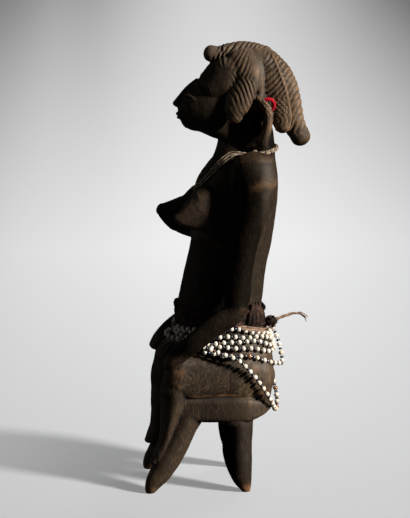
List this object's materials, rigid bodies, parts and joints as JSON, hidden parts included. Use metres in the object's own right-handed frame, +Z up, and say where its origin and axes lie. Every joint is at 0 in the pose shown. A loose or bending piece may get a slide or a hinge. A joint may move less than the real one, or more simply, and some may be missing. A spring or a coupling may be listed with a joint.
{
  "type": "seated figure carving",
  "caption": "Carved wooden seated female figure on a legged stool, with a neck cord, a hide waist tie, strings of glass beads and a thread through the ear.",
  "frame": {"origin": "on the ground, under the middle of the whole's bounding box", "axes": "+Z up, the figure faces -Y and its left side is +X"},
  "size_m": [0.14, 0.1856, 0.5002],
  "materials": {
    "wood": "satin",
    "hide": "matte",
    "fibre": "matte",
    "beads": "gloss",
    "red_thread": "matte"
  },
  "bodies": {
    "root": {"figure_and_stool": "wood", "waist_tie": "hide", "neck_cord": "fibre", "bead_string_1": "beads", "bead_string_2": "beads", "bead_string_3": "beads", "bead_string_4": "beads", "bead_string_5": "beads", "bead_string_slack": "beads", "ear_thread": "red_thread"}
  },
  "joints": []
}
